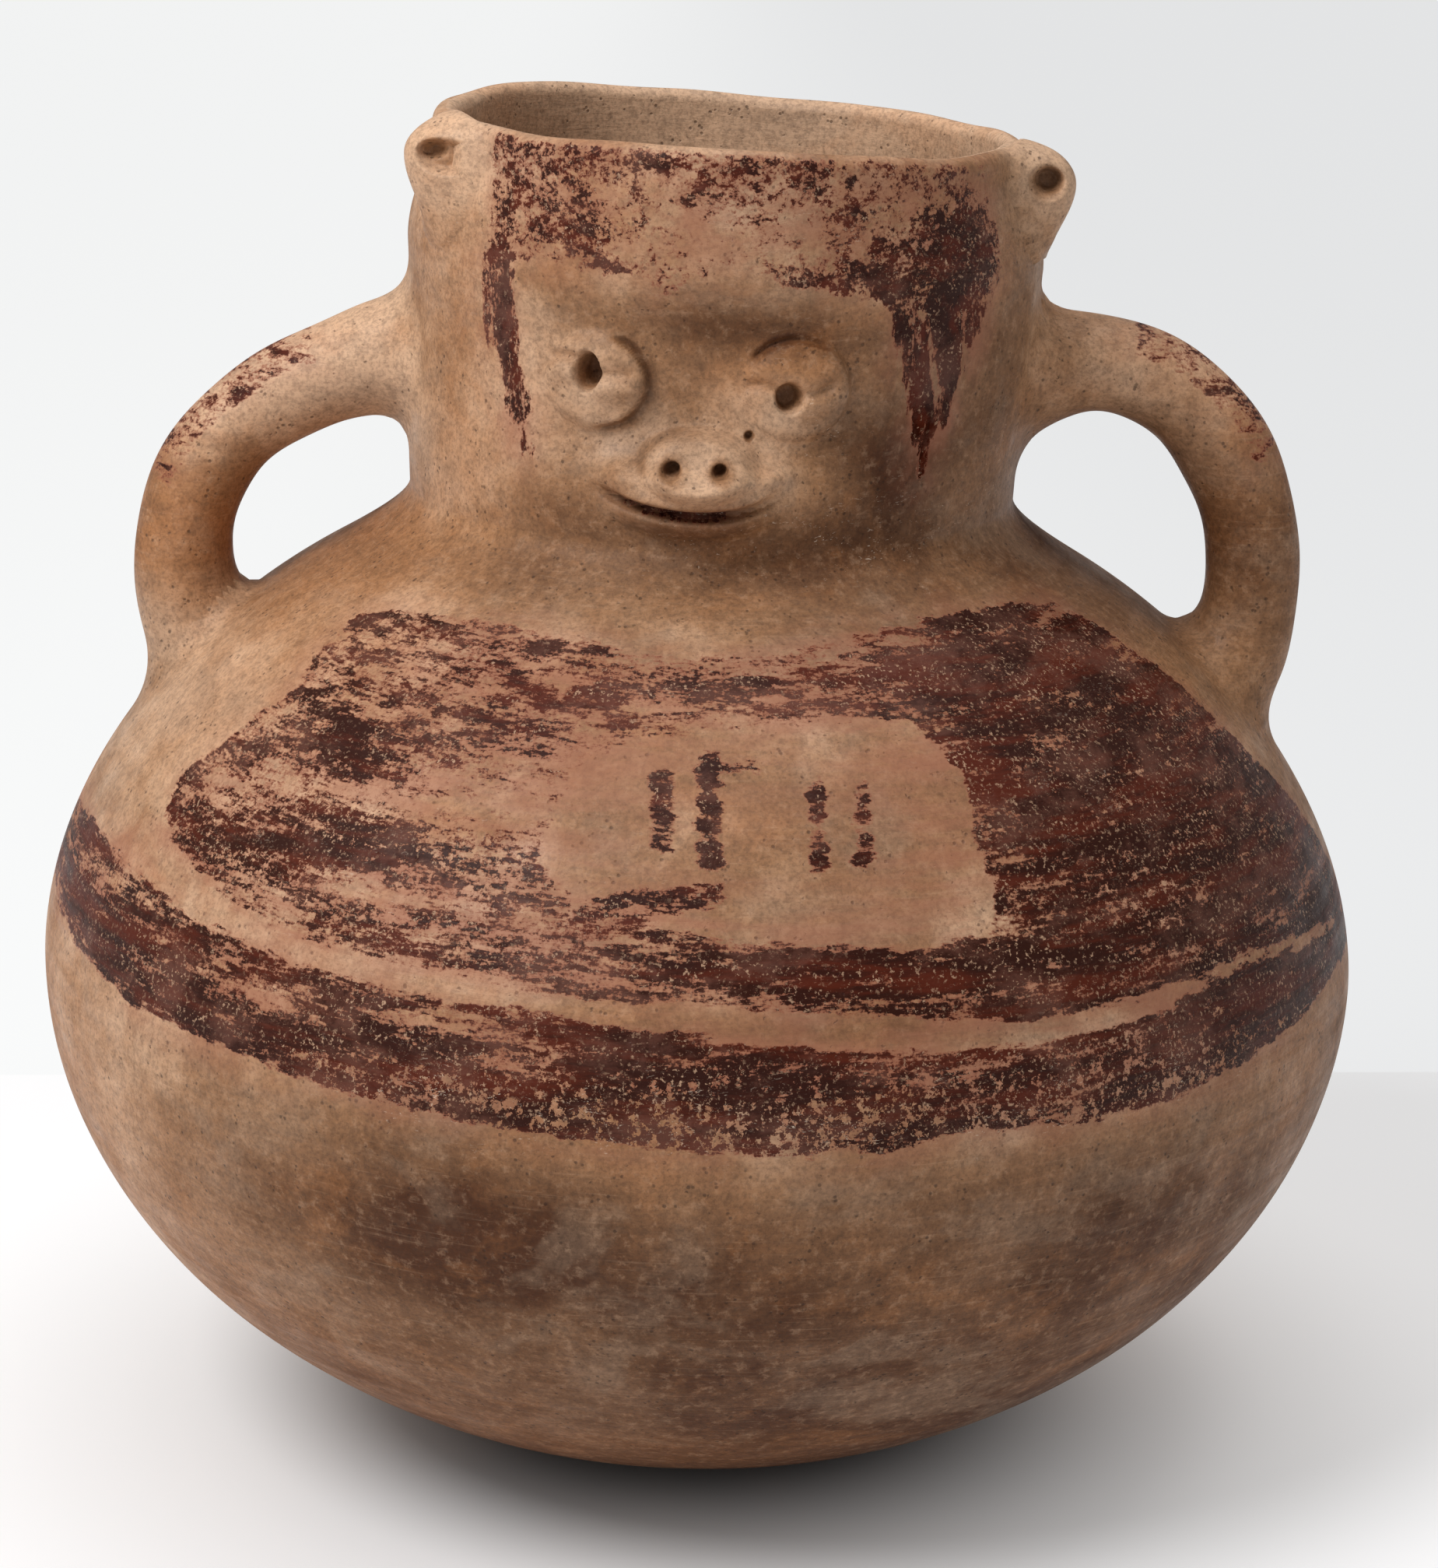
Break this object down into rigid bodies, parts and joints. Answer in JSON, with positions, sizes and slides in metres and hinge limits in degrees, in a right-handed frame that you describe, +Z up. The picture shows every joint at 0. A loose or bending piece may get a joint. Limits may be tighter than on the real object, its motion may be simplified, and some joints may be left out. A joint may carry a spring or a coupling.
{
  "type": "anthropomorphic pottery jar",
  "caption": "Round-bodied pottery jar with a wide neck modelled as a face, lug ears at the rim and strap-like rod handles from neck to shoulder.",
  "frame": {"origin": "middle of the flat worn under the round base, on the surface the jar stands on", "axes": "+Z up, the face looks along -Y, +X is to the right of someone looking at the face"},
  "size_m": [0.3198, 0.32, 0.3238],
  "materials": {
    "bare_clay": "fired clay, burnished by hand to a dull satin",
    "neck_clay": "fired clay, burnished, with worn brushed slip",
    "slipped_clay": "fired clay under brushed red-brown slip, worn through in places"
  },
  "bodies": {
    "root": {"base_bowl": "bare_clay", "belly_wall": "bare_clay", "shoulder_wall": "slipped_clay", "neck_wall": "neck_clay", "rim_coil": "neck_clay", "handle_left": "bare_clay", "handle_right": "bare_clay", "ear_left": "bare_clay", "ear_right": "bare_clay", "eye_left": "neck_clay", "eye_right": "neck_clay", "muzzle": "neck_clay", "lower_lip": "neck_clay"}
  },
  "joints": []
}
